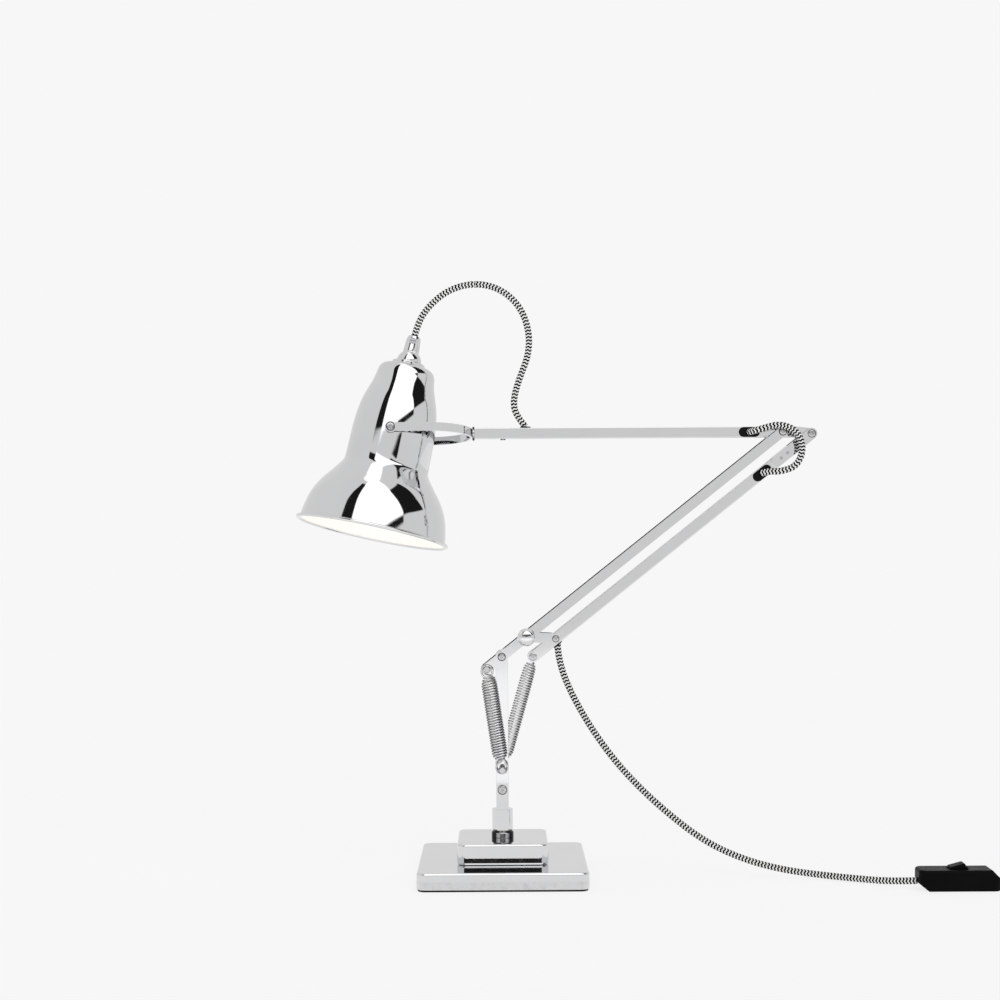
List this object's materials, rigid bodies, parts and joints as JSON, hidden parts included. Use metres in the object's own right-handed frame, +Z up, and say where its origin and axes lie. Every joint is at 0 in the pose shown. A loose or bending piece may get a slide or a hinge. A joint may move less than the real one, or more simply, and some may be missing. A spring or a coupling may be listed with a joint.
{
  "type": "swing_arm_desk_lamp",
  "caption": "Spring-balanced swing arm desk lamp: square stepped weighted base, swivelling post, parallel arms, tilting bell shade, woven flex with in-line switch and plug",
  "frame": {"origin": "centre of the base's underside, on the swivel axis", "axes": "+Z up along the swivel axis, +X from the post towards the elbow, -Y towards the side with the knob"},
  "size_m": [0.831, 0.179, 0.5953],
  "materials": {
    "chrome": "polished",
    "steel": "satin",
    "spring_steel": "polished",
    "cast_iron": "cast",
    "rubber": "matte",
    "grommet_rubber": "satin",
    "nylon": "matte",
    "textile_flex": "woven",
    "switch_plastic": "gloss",
    "holder_plastic": "satin",
    "bulb_cap_metal": "satin",
    "bulb_glass": "frosted",
    "plug_plastic": "satin",
    "brass": "polished"
  },
  "bodies": {
    "base": {"base_pad": "rubber", "base_cover": "chrome", "base_weight": "cast_iron", "base_fasteners": "steel", "spindle_socket": "steel", "swivel_liner": "nylon", "switch_lower_case": "switch_plastic", "switch_upper_case": "switch_plastic", "switch_fasteners": "steel", "power_flex": "textile_flex", "switch_flex": "textile_flex", "flex_coil": "textile_flex", "plug_flex": "textile_flex", "plug_strain_relief": "plug_plastic", "plug_body": "plug_plastic", "plug_pins": "brass"},
    "post": {"spindle": "steel", "swivel_head": "chrome", "post_plates": "chrome", "head_bolt": "steel", "main_pivot_spacers": "nylon", "spring_anchor_pin": "steel"},
    "lower_arm": {"lower_bars": "chrome", "lower_arm_bolts": "steel", "lower_arm_nuts": "steel", "outer_spring_pins": "steel"},
    "knob": {"friction_knob": "chrome"},
    "links": {"cross_links": "chrome", "link_screws": "steel"},
    "control_rod": {"control_rod_tube": "chrome", "rod_grommets": "grommet_rubber", "rod_fasteners": "steel", "rod_cheeks": "chrome", "flex_in_rod": "textile_flex"},
    "upper_arm": {"upper_arm_tube": "chrome", "upper_arm_tail": "chrome", "elbow_bushes": "nylon", "arm_end_plug": "steel", "arm_grommets": "grommet_rubber", "upper_arm_fasteners": "steel", "flex_in_upper_arm": "textile_flex", "overhead_flex": "textile_flex", "elbow_flex": "textile_flex"},
    "yoke": {"fork": "chrome"},
    "shade": {"shade_shell": "chrome", "tilt_nuts": "steel", "shade_screws": "steel", "holder_cap": "chrome", "cord_grip": "chrome", "holder_stem": "steel", "lampholder_body": "holder_plastic", "bulb_cap": "bulb_cap_metal", "bulb_glass": "bulb_glass"},
    "outer_coils": {"outer_springs": "spring_steel"},
    "outer_hooks": {"outer_spring_hooks": "spring_steel"},
    "centre_top": {"centre_spring_top": "spring_steel"},
    "centre_coil": {"centre_spring_coil": "spring_steel"},
    "centre_foot": {"centre_spring_foot": "spring_steel"},
    "rocker": {"switch_rocker": "switch_plastic"}
  },
  "joints": [
    {"name": "base_swivel", "type": "hinge", "parent": "base", "child": "post", "pos_m": [0, 0, 0], "axis": [0, 0, 1], "range_deg": [-90, 90], "deforming": ["power_flex"]},
    {"name": "lower_arm_raise", "type": "hinge", "parent": "post", "child": "lower_arm", "pos_m": [0, 0, 0.219], "axis": [0, -1, 0], "range_deg": [-20, 40], "deforming": ["power_flex", "outer_springs", "outer_spring_hooks", "centre_spring_top", "centre_spring_coil", "centre_spring_foot"]},
    {"name": "elbow", "type": "hinge", "parent": "lower_arm", "child": "upper_arm", "pos_m": [0.28056, 0, 0.44137], "axis": [0, -1, 0], "range_deg": [-45, 10], "deforming": ["power_flex", "centre_spring_top", "centre_spring_coil", "centre_spring_foot", "elbow_flex"]},
    {"name": "rod_tail", "type": "hinge", "parent": "upper_arm", "child": "control_rod", "pos_m": [0.30996, 0, 0.43947], "axis": [0, -1, 0], "range_deg": [-10, 45], "deforming": ["elbow_flex"]},
    {"name": "link_swing", "type": "hinge", "parent": "lower_arm", "child": "links", "pos_m": [0.02449, 0, 0.23841], "axis": [0, -1, 0], "range_deg": [-45, 10]},
    {"name": "knob_turn", "type": "hinge", "parent": "lower_arm", "child": "knob", "pos_m": [0.02449, 0, 0.23841], "axis": [0, -1, 0], "range_deg": [-90, 90]},
    {"name": "head_swivel", "type": "hinge", "parent": "upper_arm", "child": "yoke", "pos_m": [-0.02604, 0, 0.44137], "axis": [1, 0, 0], "range_deg": [-60, 60], "deforming": ["overhead_flex"]},
    {"name": "shade_tilt", "type": "hinge", "parent": "yoke", "child": "shade", "pos_m": [-0.10714, 0, 0.44137], "axis": [0, -0.9938, 0.1115], "range_deg": [-50, 45], "deforming": ["overhead_flex"]},
    {"name": "outer_spring_swing", "type": "hinge", "parent": "post", "child": "outer_coils", "pos_m": [0, 0, 0.1074], "axis": [0, -1, 0], "range_deg": [-5, 2.6]},
    {"name": "outer_hook_slide", "type": "slide", "parent": "outer_coils", "child": "outer_hooks", "axis": [-0.1476, 0, 0.989], "range_m": [-0.0096, 0.0049]},
    {"name": "centre_spring_swing", "type": "hinge", "parent": "control_rod", "child": "centre_top", "pos_m": [0.03116, 0, 0.2185], "axis": [0, -1, 0], "range_deg": [-40, 20]},
    {"name": "centre_coil_slide", "type": "slide", "parent": "centre_top", "child": "centre_coil", "axis": [0.3405, 0, -0.9402], "range_m": [-0.011, 0.0215]},
    {"name": "centre_foot_slide", "type": "slide", "parent": "centre_coil", "child": "centre_foot", "axis": [-0.6264, 0, -0.7795], "range_m": [-0.024, 0.0055]},
    {"name": "rocker_press", "type": "hinge", "parent": "base", "child": "rocker", "pos_m": [0.434, -0.079, 0.0177], "axis": [0, 1, 0], "range_deg": [0, 30]}
  ],
  "couplings": [
    {"joint": "rod_tail", "follows": "elbow", "ratio": -1},
    {"joint": "link_swing", "follows": "elbow", "ratio": 1},
    {"joint": "outer_spring_swing", "follows": "lower_arm_raise", "ratio": -0.12},
    {"joint": "outer_hook_slide", "follows": "lower_arm_raise", "m_per_rad": -0.0135},
    {"joint": "centre_spring_swing", "follows": "lower_arm_raise", "ratio": -1},
    {"joint": "centre_coil_slide", "follows": "lower_arm_raise", "m_per_rad": 0.03},
    {"joint": "centre_foot_slide", "follows": "elbow", "m_per_rad": 0.0301}
  ]
}
